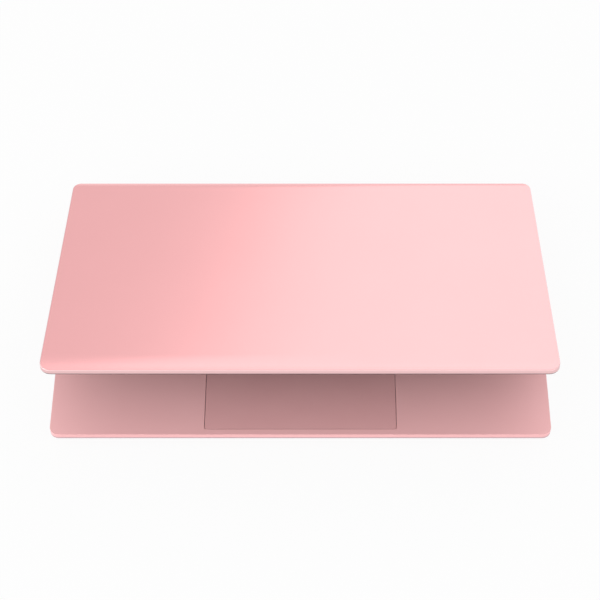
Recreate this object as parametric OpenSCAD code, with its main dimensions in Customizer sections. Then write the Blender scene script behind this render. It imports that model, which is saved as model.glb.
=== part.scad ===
// Slim clamshell laptop computer, 14 inch class, standing on a desk with its lid partly open.
// X runs along the width, +Y points to the hinge side and +Z points up.
// The origin is at the middle of the footprint, on the surface that the feet stand on.
// Lid pieces are drawn closed, with the hinge axis as their X axis, and in_lid() swings them open.

/* [Body] */
// Width of the closed computer
body_w = 325; // [319:1:345]
// Depth of the closed computer, front edge to hinge side
body_d = 209; // [205:1:225]
// Radius of the base's four outer corners, seen from above
base_corner_r = 6; // [5.5:0.5:10]
// Height of the base from its underside to its deck
base_t = 12.5; // [12.5:0.1:15]
// Height of the deck's rim, which is all of the base that its front edge shows
rim_h = 4.5; // [4:0.1:5.1]
// Depth of the sloped part of the underside, behind the front edge
ramp_d = 45; // [35:1:47]
// Sheet thickness of the top case
sheet_t = 1; // [0.9:0.05:1.2]
// Thickness of the bottom cover's floor
floor_t = 1.2; // [1:0.05:1.3]
// Thickness of the base's outer walls
wall_t = 1.4; // [1.2:0.1:1.8]
// Height of the rubber feet below the base
foot_h = 1.2; // [0.8:0.1:2]

/* [Lid] */
// Thickness of the lid
lid_t = 4.7; // [4.7:0.1:5.6]
// Radius of the lid's outer corners, seen from above
lid_corner_r = 7.5; // [6:0.5:12]
// Radius of the lid's corners beside the hinge, seen from above
lid_rear_corner_r = 12; // [8:0.5:14]
// Gap between the closed lid and the deck
lid_gap = 0.6; // [0.5:0.1:0.9]
// Angle between lid and base as drawn
lid_angle = 16.3; // [5:0.1:90]
// Length of the lid's sloped front, which bends down to a thinner front edge
nose_d = 14; // [12:1:20]
// Drop of the lid's top face along that slope
nose_drop = 1.5; // [1:0.1:1.7]
// Sheet thickness of the lid cover
lid_sheet_t = 0.8; // [0.7:0.05:0.95]
// Thickness of the lid cover's side walls
lid_wall_t = 1.2; // [1:0.1:1.4]
// Thickness of the screen bezel
bezel_t = 0.7; // [0.6:0.05:0.85]
// Bezel beside the picture
bezel_side = 7.8; // [6:0.1:12]
// Bezel above the picture, where the camera is
brow_d = 9; // [8.5:0.5:12]
// Bezel and hinge side below the picture
chin_d = 21; // [20:0.5:30]
// Thickness of the display panel
panel_t = 2.3; // [2:0.1:2.4]

/* [Hinge] */
// Radius of the hinge pin
pin_r = 1.6; // [1.3:0.05:1.8]
// Distance of each hinge from the middle
hinge_x = 112; // [95:1:118]
// Width of the hinge knuckle
knuckle_w = 8; // [6:0.5:10]
// Radial clearance of the pin in its knuckle
pin_clear = 0.05; // [0.02:0.01:0.1]
// Clearance of the lid's barrel in the trough
trough_clear = 0.5; // [0.4:0.1:0.7]

/* [Keyboard] */
// Distance from each side of the base to the keys
kb_side = 23; // [20:0.5:28]
// Distance between rows
row_pitch = 18; // [17.5:0.1:18.4]
// Distance taken by the low function row
function_pitch = 11.5; // [11:0.1:12.5]
// Gap between two key caps
cap_gap = 2.6; // [2.4:0.1:3]
// Thickness of a key cap
cap_t = 1.45; // [1.3:0.05:1.6]
// Travel of a key
key_travel = 1.2; // [1:0.1:1.4]
// Depth of the key frame's face below the deck
frame_recess = 1.1; // [0.8:0.1:1.2]

/* [Touchpad] */
// Width of the touchpad
pad_w = 124.4; // [100:0.1:130]
// Distance from the touchpad's opening to the key frame
pad_rear_gap = 6; // [5:0.5:20]
// Distance from the base's front edge to the touchpad's opening
pad_margin = 4; // [3:0.5:6]
// Gap around the touchpad
pad_gap = 0.3; // [0.3:0.1:0.8]
// Downward travel of the touchpad's front edge
pad_travel = 0.3; // [0.2:0.05:0.4]

/* [Inside] */
// Thickness of the circuit boards
board_t = 1; // [0.8:0.1:1.2]
// Radius of the fan's blades
fan_r = 22; // [18:0.5:23]
// Gap between the battery and each speaker
battery_side_gap = 7; // [4:0.5:20]
// Gap between the battery and the boards
battery_rear_gap = 4.5; // [3:0.5:15]
// Thickness of the battery cells
cell_t = 5.4; // [4.5:0.1:5.6]
// Width of each speaker
speaker_w = 26; // [20:0.5:30]
// Bore radius of the headphone socket
jack_r = 1.8; // [1.8:0.05:1.9]

/* [Hidden] */

$fn = 64;
eps = 0.01;
far = 400;
hair = 0.1;

pink = "#f0b3b5";
pink_pad = "#e9a6a9";
pink_cap = "#f7d9da";
black = "#1c1c1f";
steel = "#b9bbbf";
natural = "#ececea";
board_green = "#24513f";
copper = "#c0794a";

// ---- Places that several pieces share ----

// Levels and edges of the base
base_z = foot_h;
deck_z = base_z + base_t;
split_z = deck_z - rim_h;
inner_floor = base_z + floor_t;
front_y = -body_d / 2;
rear_y = body_d / 2;
ramp_y = front_y + ramp_d;
port_face = body_w / 2 - wall_t;
edge_chamfer = 1.5;

// Hinge axis, the lid's barrel and the trough that it turns in
barrel_r = lid_gap / 2 + lid_t;
hinge_y = rear_y - barrel_r;
hinge_z = deck_z + lid_gap / 2;
trough_r = barrel_r + trough_clear;
trough_skin_r = trough_r + sheet_t;
trough_y = hinge_y - trough_skin_r;
trough_back_z = hinge_z - 0.68 * barrel_r;

// Lid, closed: the hinge axis is at y = 0, z = 0 and the front edge is at y = -lid_len
lid_len = hinge_y - front_y;
lid_low = lid_gap / 2;
rim_low = lid_low + bezel_t;
roof_z = barrel_r - lid_sheet_t;
panel_z = rim_low + hair / 2;

// Keyboard levels, from the caps down to the boards below it
cap_top = deck_z - 0.2;
cap_low = cap_top - cap_t;
frame_t = 0.9;
frame_top = deck_z - frame_recess;
dome_h = key_travel + 0.8;
membrane_top = cap_low - dome_h;
membrane_t = 0.25;
plate_top = membrane_top - membrane_t;
plate_t = 0.5;
plate_low = plate_top - plate_t;
board_top = plate_low - 1.1;
board_low = board_top - board_t;

// Keyboard plan: widths of the keys of each row, in key pitches, from left to right
ROWS = [
    [for (i = [1:15]) 1],
    concat([for (i = [1:13]) 1], [2]),
    concat([1.5], [for (i = [1:12]) 1], [1.5]),
    concat([1.75], [for (i = [1:11]) 1], [2.25]),
    concat([2.25], [for (i = [1:10]) 1], [2.75]),
    [1.25, 1, 1, 1, 5.75, 1, 1, 1, 1, 1],
];
row_units = 15;
power_i = 14;
space_i = 4;
left_arrow_i = 7;
updown_i = 8;
right_arrow_i = 9;
kb_strip = 12;
key_pitch = (body_w - 2 * kb_side) / row_units;
kb_w = row_units * key_pitch;
kb_d = function_pitch + 5 * row_pitch;
kb_rear = hinge_y - trough_r - kb_strip;
kb_mid_y = kb_rear - kb_d / 2;
kb_edge = 2;

function sum_before(row, i) = i == 0 ? 0 : row[i - 1] + sum_before(row, i - 1);
function row_y(r) = r == 0 ? kb_rear - function_pitch / 2 : kb_rear - function_pitch - (r - 0.5) * row_pitch;
function row_h(r) = (r == 0 ? function_pitch : row_pitch) - cap_gap;
function key_x(r, i) = -kb_w / 2 + key_pitch * (sum_before(ROWS[r], i) + ROWS[r][i] / 2);
function key_w(r, i) = ROWS[r][i] * key_pitch - cap_gap;

// Caps of one key as [x, y, width, depth]; up and down share a place and have half a cap each
updown_gap = 1.2;
half_key_h = (row_h(5) - updown_gap) / 2;
function caps(r, i) = r == 5 && i == updown_i
    ? [for (s = [1, -1]) [key_x(r, i), row_y(r) + s * (row_h(5) - half_key_h) / 2, key_w(r, i), half_key_h]]
    : [[key_x(r, i), row_y(r), key_w(r, i), row_h(r)]];
ALL_CAPS = [for (r = [0:5]) for (i = [0:len(ROWS[r]) - 1]) each caps(r, i)];

// Places inside the base, as ranges along X and Y
fan_x = 62.5 - body_w / 2;
fan_y = hinge_y - 42.5;
fins_y = [rear_y - 15.5, rear_y - 3.5];
board_x = [fan_x + 30, port_face - 20.1];
board_y = [hinge_y - 81.5, hinge_y - 11.5];
side_board_x = [-port_face + 15, -port_face + 29];
side_board_y = [hinge_y - 81.5, hinge_y - 19.5];
wireless_x = [board_x[1] - 37, board_x[1] - 7];
wireless_y = [hinge_y - 47.5, hinge_y - 25.5];
memory_x = [board_x[1] - 115, board_x[1] - 47.4];
memory_y = [hinge_y - 45.5, hinge_y - 15.5];
drive_x = [board_x[1] - 111, board_x[1] - 31];
drive_y = [board_y[0] + 3, board_y[0] + 25];
processor_x = [memory_x[0] - 46, memory_x[0] - 16];
processor_y = [hinge_y - 61.5, hinge_y - 37.5];
port_depth = 14;

// Battery between the sloped front, the boards and the speakers
speaker_x = body_w / 2 - 5.5 - speaker_w / 2;
battery_gap = 1.6;
battery_wall = 2;
battery_front = ramp_y + 7;
battery_w = 2 * (speaker_x - speaker_w / 2 - battery_side_gap);
battery_d = board_y[0] - battery_rear_gap - battery_front;
battery_y = battery_front + battery_d / 2;
cell_w = (battery_w - 2 * battery_gap - 2 * battery_wall - 0.8) / 3;
cell_d = battery_d - 2 * battery_wall;
speaker_d = battery_d - 8;

// Screws through the bottom cover, each into a boss of the top case
screw_r = 1;
screw_head_r = 2;
screw_head_h = 0.8;
screw_longest_bite = 2.5;
screw_boss_r = 2.6;
screw_pad_t = 1.2;
screw_sink = 0.1;
side_screw_x = body_w / 2 - 8;
front_screw_x = pad_w / 2 + 22;
rear_screw_x = body_w / 2 - 100.5;
mid_screw_x = processor_x[1] - 10;
front_screw_y = front_y + 9.5;
side_screw_y = hinge_y - 84.5;
rear_screw_y = kb_rear + 7;
SCREWS = [
    for (x = [-side_screw_x, -front_screw_x, front_screw_x, side_screw_x]) [x, front_screw_y],
    for (s = [-1, 1]) [s * side_screw_x, side_screw_y],
    for (x = [-side_screw_x, -rear_screw_x, mid_screw_x, rear_screw_x, side_screw_x]) [x, rear_screw_y],
];

// Posts of the bottom cover that carry the boards
post_r = 2.2;
board_screw_r = 0.8;
side_board_mid = (side_board_x[0] + side_board_x[1]) / 2;
BOARD_POSTS = [
    for (x = [board_x[0] + 4, board_x[1] - 5], y = [board_y[0] + 4, board_y[1] - 4]) [x, y],
    [board_x[1] - 71, hinge_y - 53],
    for (y = [side_board_y[0] + 8, side_board_y[1] - 8]) [side_board_mid, y],
];

// Height of the base's underside at depth y, and the seat of a screw head there
function underside_z(y) = y < ramp_y ? split_z - (split_z - base_z) * (y - front_y) / ramp_d : base_z;
function screw_seat_z(s) = underside_z(s[1] - screw_boss_r) + floor_t - screw_sink;
function screw_pad_z(s) = screw_seat_z(s) + screw_sink + screw_pad_t;
// Length of a screw inside its boss, short of the deck's sheet
function screw_bite(s) = min(screw_longest_bite, deck_z - sheet_t - hair - screw_pad_z(s));

// ---- Shapes that several pieces share ----

module rounded_rect(w, d, r) {
    square([w - 2 * r, d], center = true);
    square([w, d - 2 * r], center = true);
    for (x = [-1, 1], y = [-1, 1]) translate([x * (w / 2 - r), y * (d / 2 - r)]) circle(r);
}

module slab(w, d, h, r) {
    linear_extrude(h) rounded_rect(w, d, r);
}

// A box given by its ranges along X, Y and Z
module block(x, y, z) {
    translate([x[0], y[0], z[0]]) cube([x[1] - x[0], y[1] - y[0], z[1] - z[0]]);
}

function around(middle, width) = [middle - width / 2, middle + width / 2];

// A profile in the YZ plane, drawn out along X over the width w
module along_x(w) {
    translate([-w / 2, 0, 0]) rotate([90, 0, 90]) linear_extrude(w) children();
}

module bar_x(x, r) {
    translate([x[0], 0, 0]) rotate([0, 90, 0]) cylinder(h = x[1] - x[0], r = r);
}

module both_sides() {
    for (s = [0, 1]) mirror([s, 0, 0]) children();
}

module on_hinge_axis() {
    translate([0, hinge_y, hinge_z]) children();
}

module in_lid() {
    on_hinge_axis() rotate([-lid_angle, 0, 0]) children();
}

// ---- Base shells ----

module base_plan(inset) {
    translate([0, 0, -far / 2]) slab(body_w - 2 * inset, body_d - 2 * inset, far, base_corner_r - inset);
}

module trough(r) {
    on_hinge_axis() bar_x([-far, far], r);
}

module trough_skin(inset, z) {
    intersection() {
        trough(trough_skin_r);
        base_plan(inset);
        block([-far, far], [trough_y, rear_y], z);
    }
}

module screw_bosses() {
    for (s = SCREWS) translate([s[0], s[1], screw_pad_z(s)]) difference() {
        cylinder(h = deck_z - sheet_t / 2 - screw_pad_z(s), r = screw_boss_r);
        translate([0, 0, -1]) cylinder(h = 1 + screw_bite(s) + hair / 2, r = screw_r + hair / 2);
    }
}

// Slots in the trough's front wall for the hinge arms and for the display cable
module trough_slots() {
    for (s = [-1, 1]) block(around(s * hinge_x, knuckle_w + 0.8), [trough_y - 1, hinge_y],
        [hinge_z - knuckle_r - 0.6, deck_z - sheet_t]);
    block(around(cable_x, 2 * cable_r + 0.8), [trough_y - 1, hinge_y],
        [hinge_z - cable_drop - cable_r - 0.4, deck_z - sheet_t]);
}

ledge_in = -0.5;
ledge_out = kb_edge + 1.6;

module top_case() {
    color(pink) difference() {
        union() {
            difference() {
                translate([0, 0, split_z]) slab(body_w, body_d, rim_h, base_corner_r);
                translate([0, 0, split_z - 1])
                    slab(body_w - 2 * wall_t, body_d - 2 * wall_t, rim_h - sheet_t + 1,
                        base_corner_r - wall_t);
            }
            // Ledge with the key frame on it and the keyboard plate against its underside
            translate([0, kb_mid_y, plate_top])
                slab(kb_w + 2 * ledge_out, kb_d + 2 * ledge_out, deck_z - sheet_t / 2 - plate_top, 2.4);
            trough_skin(0, [split_z, deck_z]);
            trough_skin(wall_t + hair, [base_z, split_z + eps]);
            screw_bosses();
        }
        trough(trough_r);
        block([-far, far], [hinge_y, rear_y + 1], [trough_back_z, deck_z + 1]);
        translate([0, kb_mid_y, frame_top - frame_t]) slab(kb_w + 2 * kb_edge, kb_d + 2 * kb_edge, far, 1.6);
        translate([0, kb_mid_y, 0]) slab(kb_w + 2 * ledge_in, kb_d + 2 * ledge_in, far, 1);
        translate([0, pad_y, 0]) slab(pad_w + 2 * pad_gap, pad_d + 2 * pad_gap, far, pad_r + pad_gap);
        trough_slots();
    }
}

// Outer shape of the bottom cover at inset 0, and its hollow where inset is the floor's thickness
module tray(inset) {
    slope = atan2(split_z - base_z, ramp_d);
    rise = inset / cos(slope);
    run = inset * (1 - cos(slope)) / sin(slope);
    edge = inset > 0 ? 0 : edge_chamfer;
    low = base_z + inset;
    half_w = body_w / 2;
    intersection() {
        along_x(body_w) polygon([
            [front_y, split_z + rise], [ramp_y + run, low], [rear_y - edge_chamfer, low],
            [rear_y, low + edge], [rear_y, deck_z], [front_y, deck_z],
        ]);
        rotate([90, 0, 0]) translate([0, 0, -far / 2]) linear_extrude(far) polygon([
            [-half_w, deck_z], [-half_w, low + edge], [-half_w + edge_chamfer, low],
            [half_w - edge_chamfer, low], [half_w, low + edge], [half_w, deck_z],
        ]);
        base_plan(inset > 0 ? wall_t : 0);
    }
}

module bottom_cover() {
    color(pink) difference() {
        union() {
            difference() {
                tray(0);
                tray(floor_t);
            }
            for (s = SCREWS) intersection() {
                translate([s[0], s[1], 0]) cylinder(h = screw_pad_z(s) - eps, r = screw_boss_r + 1);
                tray(0);
            }
            for (p = BOARD_POSTS) translate([p[0], p[1], inner_floor - eps])
                cylinder(h = board_low - inner_floor + eps, r = post_r);
        }
        block([-far, far], [front_y - 1, rear_y + 1], [split_z, far]);
        trough(trough_r);
        intersection() {
            trough(trough_skin_r + hair);
            base_plan(wall_t);
        }
        for (p = BOARD_POSTS) translate([p[0], p[1], inner_floor]) cylinder(h = far, r = board_screw_r);
        for (s = SCREWS) translate([s[0], s[1], 0]) {
            cylinder(h = far, r = screw_r + 0.2);
            cylinder(h = screw_seat_z(s), r = screw_head_r + 0.3);
        }
        port_mouths();
        air_slots();
        foot_seats();
    }
}

// Intake below the fan, exhaust in the rear wall and sound slots below the speakers
slot_pitch = 4;
slot_w = 1.6;
function intake_len(x) = 2 * sqrt(pow(fan_r - 1, 2) - pow(min(abs(x), fan_r - 2), 2));

module air_slots() {
    for (i = [-5:5]) {
        x = fan_x + i * slot_pitch;
        translate([x, fan_y, 0]) slab(slot_w, intake_len(i * slot_pitch), inner_floor + 1, 0.7);
        block(around(x, 2), [rear_y - 3, rear_y + 1], [inner_floor + 0.6, inner_floor + 4.6]);
    }
    sound_slots = floor((speaker_d - 26) / 2 / slot_pitch);
    for (s = [-1, 1], i = [-sound_slots:sound_slots])
        translate([s * speaker_x, battery_y + i * slot_pitch, 0])
            slab(speaker_w - 10, slot_w, inner_floor + 1, 0.7);
}

// ---- Feet and screws ----

foot_w = 8;
foot_sink = 0.4;
front_foot_l = 42;
front_foot_x = body_w / 2 - 50.5;
front_foot_y = ramp_y + 9;
rear_foot_l = body_w - 75;
rear_foot_y = rear_y - 7;

module foot(l, grow, z) {
    translate([0, 0, z[0]]) slab(l + 2 * grow, foot_w + 2 * grow, z[1] - z[0], foot_w / 2 + grow - eps);
}

module foot_seats() {
    z = [0, base_z + foot_sink];
    for (s = [-1, 1]) translate([s * front_foot_x, front_foot_y, 0]) foot(front_foot_l, 0.2, z);
    translate([0, rear_foot_y, 0]) foot(rear_foot_l, 0.2, z);
}

module front_feet() {
    color(black) for (s = [-1, 1]) translate([s * front_foot_x, front_foot_y, 0])
        foot(front_foot_l, 0, [0, base_z + foot_sink]);
}

module rear_foot() {
    color(black) translate([0, rear_foot_y, 0]) foot(rear_foot_l, 0, [0, base_z + foot_sink]);
}

module bottom_screws() {
    color(steel) for (s = SCREWS) translate([s[0], s[1], screw_seat_z(s) - screw_head_h]) difference() {
        union() {
            cylinder(h = screw_head_h, r = screw_head_r);
            cylinder(h = screw_head_h + screw_sink + screw_pad_t + screw_bite(s), r = screw_r);
        }
        for (a = [0, 90]) rotate([0, 0, a]) cube([0.5, 1.1 * screw_head_r, 1], center = true);
    }
}

// ---- Keyboard ----

cap_r = 1.3;
cap_step = 0.35;
cap_step_h = 0.45;
cap_clear = 0.5;

module key_frame() {
    color(pink) translate([0, 0, frame_top - frame_t]) difference() {
        translate([0, kb_mid_y, 0])
            slab(kb_w + 2 * (kb_edge - hair), kb_d + 2 * (kb_edge - hair), frame_t, 1.6 - hair);
        for (c = ALL_CAPS) translate([c[0], c[1], -1])
            slab(c[2] + 2 * cap_clear, c[3] + 2 * cap_clear, frame_t + 2, cap_r + cap_clear);
    }
}

module keyboard_plate() {
    color(steel) difference() {
        translate([0, kb_mid_y, plate_low]) slab(kb_w + 2 * kb_edge, kb_d + 2 * kb_edge, plate_t, 1);
        for (i = [-1, 0, 1]) translate([i * kb_w / 3, row_y(3) + row_pitch / 2, 0])
            cylinder(h = far, r = 1.2);
    }
}

module key_membrane() {
    side = 2 * (ledge_in - 2 * hair);
    color(natural) translate([0, kb_mid_y, plate_top]) slab(kb_w + side, kb_d + side, membrane_t, 1);
}

module key_domes() {
    color(natural) for (c = ALL_CAPS) translate([c[0], c[1], membrane_top])
        cylinder(h = dome_h, r1 = 2.4, r2 = 1.5);
}

// Two crossed links below a cap: an outer frame, and an inner one that tilts the other way within it.
// Below a low cap the frames have no room for their end bars, and keep only their sides.
link_t = 0.45;
link_w = 0.8;
link_span = 10.6;

module link_frame(w, l, tilt, has_ends) {
    rotate([tilt, 0, 0]) difference() {
        cube([w, l, link_t], center = true);
        cube([w - 2 * link_w, has_ends ? l - 2 * link_w : l + 1, 1], center = true);
    }
}

module scissor_links() {
    color(natural) for (c = ALL_CAPS) translate([c[0], c[1], membrane_top + dome_h / 2]) {
        is_full = c[3] > 0.7 * row_h(1);
        l = c[3] - (is_full ? 3.4 : 1.8);
        tilt = asin((dome_h - 1.25 * link_t) / l);
        link_frame(link_span, l, tilt, is_full);
        link_frame(link_span - 2 * link_w - 0.4, l - (is_full ? 2 : 0), -tilt, is_full);
    }
}

module cap(c) {
    translate([c[0], c[1], cap_low]) {
        slab(c[2], c[3], cap_t - cap_step_h, cap_r);
        slab(c[2] - 2 * cap_step, c[3] - 2 * cap_step, cap_t, cap_r - cap_step);
    }
}

module keys(r, from, to) {
    color(pink_cap) for (i = [from:to]) for (c = caps(r, i)) cap(c);
}

module bottom_keys() {
    keys(5, 0, space_i - 1);
    keys(5, space_i + 1, left_arrow_i - 1);
}

// ---- Touchpad ----

pad_r = 1.2;
pad_t = 1.6;
pad_low = deck_z - 0.15 - pad_t;
pad_front = front_y + pad_margin + pad_gap;
pad_rear = kb_rear - kb_d - kb_edge - pad_rear_gap - pad_gap;
pad_d = pad_rear - pad_front;
pad_y = (pad_front + pad_rear) / 2;
pad_bracket_t = 0.6;
pad_room = pad_travel + 0.4;
pad_bracket_z = pad_low - pad_room - pad_bracket_t;

module touchpad() {
    color(pink_pad) translate([0, pad_y, pad_low]) slab(pad_w, pad_d, pad_t, pad_r);
}

// Frame below the pad, hung from the deck by its side flanges; the pad tips about its rear lip
module touchpad_bracket() {
    color(steel) difference() {
        union() {
            translate([0, pad_y + 1, pad_bracket_z]) slab(pad_w + 8, pad_d - 8, pad_bracket_t, 2);
            block(around(0, pad_w - 12), [pad_y + pad_d / 2 - 3.4, pad_y + pad_d / 2 - 0.6],
                [pad_bracket_z, pad_low - 0.06]);
            for (s = [-1, 1]) block(around(s * (pad_w / 2 + 2.6), 2.8), around(pad_y + 1, pad_d - 14),
                [pad_bracket_z, deck_z - sheet_t]);
        }
        for (s = [-1, 1]) translate([s * pad_w / 4, pad_y - 2, 0]) slab(pad_w / 2 - 12, pad_d - 32, far, 4);
    }
}

module touchpad_switch() {
    button_h = pad_room - pad_travel - 0.05;
    color(black) translate([0, pad_y - pad_d / 2 + 9, pad_bracket_z + pad_bracket_t]) {
        block([-3, 3], [-3, 3], [0, button_h - 0.1]);
        cylinder(h = button_h, r = 1.6);
    }
}

// ---- Boards ----

chip_t = 1;

module board(x, y) {
    color(board_green) difference() {
        block(x, y, [board_low, board_top]);
        for (p = BOARD_POSTS) translate([p[0], p[1], 0]) cylinder(h = far, r = board_screw_r + 0.2);
        for (s = SCREWS) translate([s[0], s[1], 0]) cylinder(h = far, r = screw_boss_r + 0.6);
    }
}

module board_screws() {
    head_h = 0.7;
    thread_l = board_t + 2.5;
    color(steel) for (p = BOARD_POSTS) translate([p[0], p[1], board_top]) {
        cylinder(h = head_h, r = 2 * board_screw_r);
        translate([0, 0, -thread_l]) cylinder(h = thread_l + hair, r = board_screw_r);
    }
}

module board_chips() {
    below = [board_low - chip_t, board_low];
    above = [board_top, board_top + 0.8];
    color(black) {
        block(processor_x, processor_y, below);
        for (i = [0:3]) block(around(board_x[0] + 13.5 + 9 * i, 7), around(board_y[0] + 10.5, 9), below);
        block(around(drive_x[0] - 12, 8), around(board_y[0] + 10, 8), below);
        for (i = [0:5]) block(around(board_x[0] + 17 + 14 * i, 6), around(board_y[1] - 15, 6), above);
    }
}

// A small card below the mainboard, in a socket at one end
module card_below(x, y, drop, card_t, socket_x, socket_y) {
    card_z = board_low - drop;
    color(board_green) block(x, y, [card_z, card_z + card_t]);
    color(black) block(socket_x, socket_y, [card_z + card_t + 0.02, board_low]);
}

module memory_module() {
    drop = 2.6;
    card_below(memory_x, memory_y, drop, 1, [memory_x[0] - 2, memory_x[1] + 2],
        [memory_y[0] - 4, memory_y[0] + 2]);
    color(black) for (i = [0:3])
        block(around(memory_x[0] + 9 + 16 * i, 12), around(memory_y[0] + 13, 14),
            [board_low - drop - 0.9, board_low - drop]);
}

module solid_state_drive() {
    drop = 2;
    card_below(drive_x, drive_y, drop, 0.8, around(drive_x[0], 8), drive_y);
    color(black) for (i = [0, 1])
        block(around(drive_x[0] + 19 + 24 * i, 18), [drive_y[0] + 4, drive_y[1] - 4],
            [board_low - drop - chip_t, board_low - drop]);
}

module wireless_card() {
    drop = 1.6;
    card_below(wireless_x, wireless_y, drop, 0.8, around(wireless_x[0], 8), wireless_y);
    color(black) block([wireless_x[0] + 6, wireless_x[1] - 4], [wireless_y[0] + 3, wireless_y[1] - 3],
        [board_low - drop - 0.8, board_low - drop]);
}

module ribbon_cable() {
    color(natural) block([side_board_x[1] - 3, board_x[0] + 4], [board_y[0] + 6.5, board_y[0] + 13],
        [board_top, board_top + 0.3]);
}

// ---- Cooling ----

spreader_t = 1;
spreader_z = board_low - chip_t - spreader_t;
pipe_t = 1.6;
pipe_w = 8;
pipe_x = [processor_x[0] + 6, processor_x[0] + 6 + pipe_w];
fan_h = board_low + 0.4 - inner_floor;
fan_wall = 0.5;
fan_side = 2 * (fan_r + 3);
fan_hub_r = 9;
fan_axle_r = 0.9;

module fan_housing() {
    color(black) difference() {
        block(around(fan_x, fan_side), [fan_y - fan_side / 2, fins_y[0] - 0.4],
            [inner_floor, inner_floor + fan_h]);
        translate([fan_x, fan_y, inner_floor + fan_wall]) cylinder(h = fan_h - 2 * fan_wall, r = fan_r + 1);
        block(around(fan_x, 2 * fan_r), [fan_y, fins_y[0]],
            [inner_floor + fan_wall, inner_floor + fan_h - fan_wall]);
        translate([fan_x, fan_y, inner_floor - 1]) cylinder(h = 1 + 2 * fan_wall, r = fan_r - 4);
        translate([fan_x, fan_y, inner_floor + fan_h - 1]) cylinder(h = 2, r = fan_axle_r + hair);
    }
}

module fan_rotor() {
    blades = 17;
    blade_t = 0.8;
    color(black) translate([fan_x, fan_y, inner_floor + fan_wall + 0.4]) {
        cylinder(h = fan_h - 2 * fan_wall - 0.8, r = fan_hub_r);
        cylinder(h = fan_h - fan_wall - 0.45, r = fan_axle_r);
        for (i = [0:blades - 1]) rotate([0, 0, i * 360 / blades])
            block([fan_hub_r - 1, fan_r - 1], around(0, blade_t), [0.3, fan_h - 2 * fan_wall - 1.1]);
    }
}

module heat_pipe() {
    pipe_z = [spreader_z - pipe_t, spreader_z];
    end_y = fins_y[1] - 1;
    color(copper) {
        block([processor_x[0] - 4, processor_x[1] + 4], [processor_y[0] - 4, processor_y[1] + 4],
            [spreader_z, spreader_z + spreader_t]);
        block(pipe_x, [processor_y[0], end_y], pipe_z);
        block([fan_x - fan_r, pipe_x[0] + eps], [end_y - pipe_w, end_y], pipe_z);
    }
}

module heat_fins() {
    fins = 22;
    fin_t = 0.3;
    high = hinge_z - trough_skin_r - 0.3;
    step = (2 * fan_r - fin_t) / fins;
    color(copper) {
        block(around(fan_x, 2 * fan_r), fins_y, [high - 0.4, high]);
        for (i = [0:fins]) block([fan_x - fan_r + i * step, fan_x - fan_r + i * step + fin_t], fins_y,
            [spreader_z, high - 0.2]);
    }
}

// ---- Battery and sound ----

cell_low = inner_floor + 0.4;

module battery_frame() {
    color(black) difference() {
        translate([0, battery_y, inner_floor]) slab(battery_w, battery_d, cell_t + 0.6, battery_wall);
        for (i = [-1:1]) translate([i * (cell_w + battery_gap), battery_y, cell_low])
            slab(cell_w + 0.4, cell_d + 0.4, far, 1.2);
    }
}

module battery_cells() {
    color("#8d9096") for (i = [-1:1]) translate([i * (cell_w + battery_gap), battery_y, cell_low])
        slab(cell_w, cell_d, cell_t, 1);
}

module speakers() {
    color(black) for (s = [-1, 1]) translate([s * speaker_x, battery_y, inner_floor]) difference() {
        slab(speaker_w, speaker_d, 4.6, 3);
        translate([0, 0, -1]) slab(speaker_w - 9, speaker_d - 20, 2, 2);
    }
}

// ---- Ports: each is drawn for the right side and mirrored for the left ----

// Width, height and corner radius of each shell
port_wall = 0.4;
port_z = inner_floor + 0.2;
usb_a = [13, 5.6, 0.8];
usb_c = [8.9, 3.2, 1.5];
video = [15, 5.4, 1.4];
card = [13, 2.6, 0.7];
usb_c_z = port_z + 1.3;
card_z = port_z + 1.5;
usb_c_y = hinge_y - 29.5;
video_y = hinge_y - 51.5;
left_usb_y = hinge_y - 73.5;
jack_y = hinge_y - 33.5;
card_y = hinge_y - 52.5;
right_usb_y = hinge_y - 72.5;
jack_body = [6.4, 5.2];
jack_collar_r = jack_r + 0.5;
jack_z = port_z + jack_body[1] / 2;

module at_port(side, y, z) {
    mirror([side < 0 ? 1 : 0, 0, 0]) translate([port_face, y, z]) children();
}

module port_prism(x, size, inset) {
    translate([x[0], 0, size[1] / 2]) rotate([90, 0, 90]) linear_extrude(x[1] - x[0])
        rounded_rect(size[0] - 2 * inset, size[1] - 2 * inset, size[2] - inset);
}

module port_shell(size) {
    difference() {
        port_prism([-port_depth, 0], size, 0);
        port_prism([1 - port_depth, 1], size, port_wall);
    }
}

module port_tongue(z, w, h) {
    block([0.5 - port_depth, -3], around(0, w), around(z, h));
}

// Opening in the base's wall, as large as the port's mouth
module port_mouth(size) {
    port_prism([-1, wall_t + 1], size, port_wall);
}

module port_mouths() {
    at_port(-1, usb_c_y, usb_c_z) port_mouth(usb_c);
    at_port(-1, video_y, port_z) port_mouth(video);
    at_port(-1, left_usb_y, port_z) port_mouth(usb_a);
    at_port(1, card_y, card_z) port_mouth(card);
    at_port(1, right_usb_y, port_z) port_mouth(usb_a);
    at_port(1, jack_y, jack_z) bar_x([-5, wall_t + 1], jack_collar_r + 0.2);
}

module usb_a_port(side, y) {
    color(steel) at_port(side, y, port_z) port_shell(usb_a);
    color(black) at_port(side, y, port_z) port_tongue(usb_a[1] / 2 + 1, usb_a[0] - 2.4, 1.6);
}

module usb_a_ports() {
    usb_a_port(-1, left_usb_y);
    usb_a_port(1, right_usb_y);
}

module usb_c_port() {
    color(steel) at_port(-1, usb_c_y, usb_c_z) port_shell(usb_c);
    color(black) at_port(-1, usb_c_y, usb_c_z) port_tongue(usb_c[1] / 2, usb_c[0] - 2.2, 0.7);
}

module video_port() {
    color(steel) at_port(-1, video_y, port_z) port_shell(video);
    color(black) at_port(-1, video_y, port_z) port_tongue(video[1] / 2, video[0] - 4, 1);
}

module card_slot() {
    color(steel) at_port(1, card_y, card_z) port_shell(card);
}

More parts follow.
